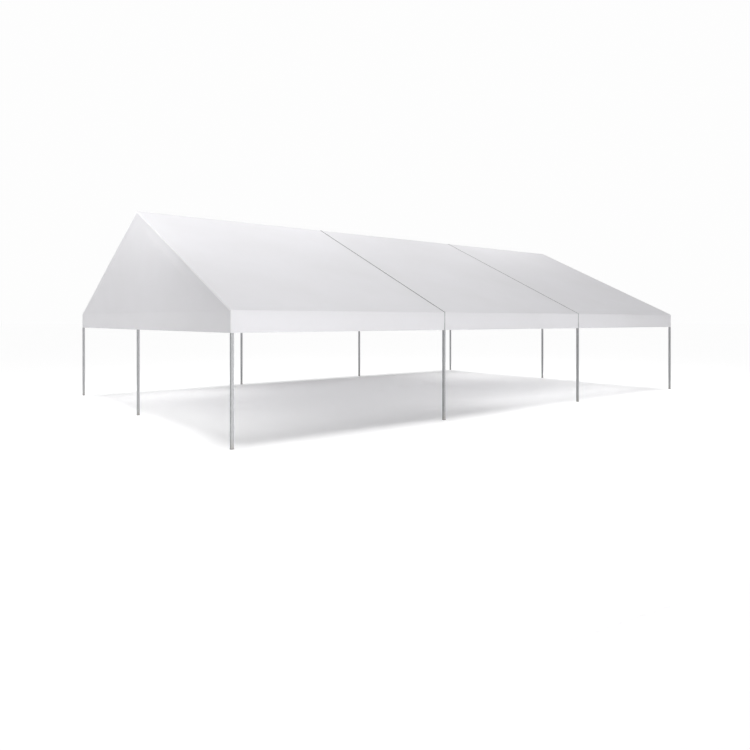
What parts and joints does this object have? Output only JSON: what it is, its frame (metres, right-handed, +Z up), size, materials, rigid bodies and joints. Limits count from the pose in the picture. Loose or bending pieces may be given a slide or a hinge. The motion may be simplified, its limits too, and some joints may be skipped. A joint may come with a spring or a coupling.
{
  "type": "marquee tent",
  "caption": "White gable-roofed marquee tent with open sides: aluminium portal frames on slim square legs, coated fabric roof panels with a straight valance, flat fabric gables.",
  "frame": {"origin": "on the ground, at the middle of the plan", "axes": "+X along the ridge, +Y across the tent towards the back long side, +Z up; the front long side is at -Y and the left gable at -X"},
  "size_m": [18.368, 12.272, 5.77],
  "materials": {
    "fabric": "satin coated",
    "profile": "satin anodised",
    "bracket": "cast, satin",
    "cable": "galvanised"
  },
  "bodies": {
    "root": {"leg_front_1": "profile", "leg_front_2": "profile", "leg_front_3": "profile", "leg_front_4": "profile", "leg_back_1": "profile", "leg_back_2": "profile", "leg_back_3": "profile", "leg_back_4": "profile", "gable_post_left": "profile", "gable_post_right": "profile", "corner_bracket_front_1": "bracket", "corner_bracket_front_2": "bracket", "corner_bracket_front_3": "bracket", "corner_bracket_front_4": "bracket", "corner_bracket_back_1": "bracket", "corner_bracket_back_2": "bracket", "corner_bracket_back_3": "bracket", "corner_bracket_back_4": "bracket", "ridge_bracket_1": "bracket", "ridge_bracket_2": "bracket", "ridge_bracket_3": "bracket", "ridge_bracket_4": "bracket", "rafter_front_1": "profile", "rafter_front_2": "profile", "rafter_front_3": "profile", "rafter_front_4": "profile", "rafter_back_1": "profile", "rafter_back_2": "profile", "rafter_back_3": "profile", "rafter_back_4": "profile", "eave_beam_front_1": "profile", "eave_beam_front_2": "profile", "eave_beam_front_3": "profile", "eave_beam_back_1": "profile", "eave_beam_back_2": "profile", "eave_beam_back_3": "profile", "ridge_beam_1": "profile", "ridge_beam_2": "profile", "ridge_beam_3": "profile", "gable_beam_left_front": "profile", "gable_beam_left_back": "profile", "gable_beam_right_front": "profile", "gable_beam_right_back": "profile", "tie_cable_2": "cable", "tie_hanger_2": "cable", "tie_cable_3": "cable", "tie_hanger_3": "cable", "roof_panel_1": "fabric", "roof_panel_2": "fabric", "roof_panel_3": "fabric", "gable_panel_left": "fabric", "gable_panel_right": "fabric"}
  },
  "joints": []
}
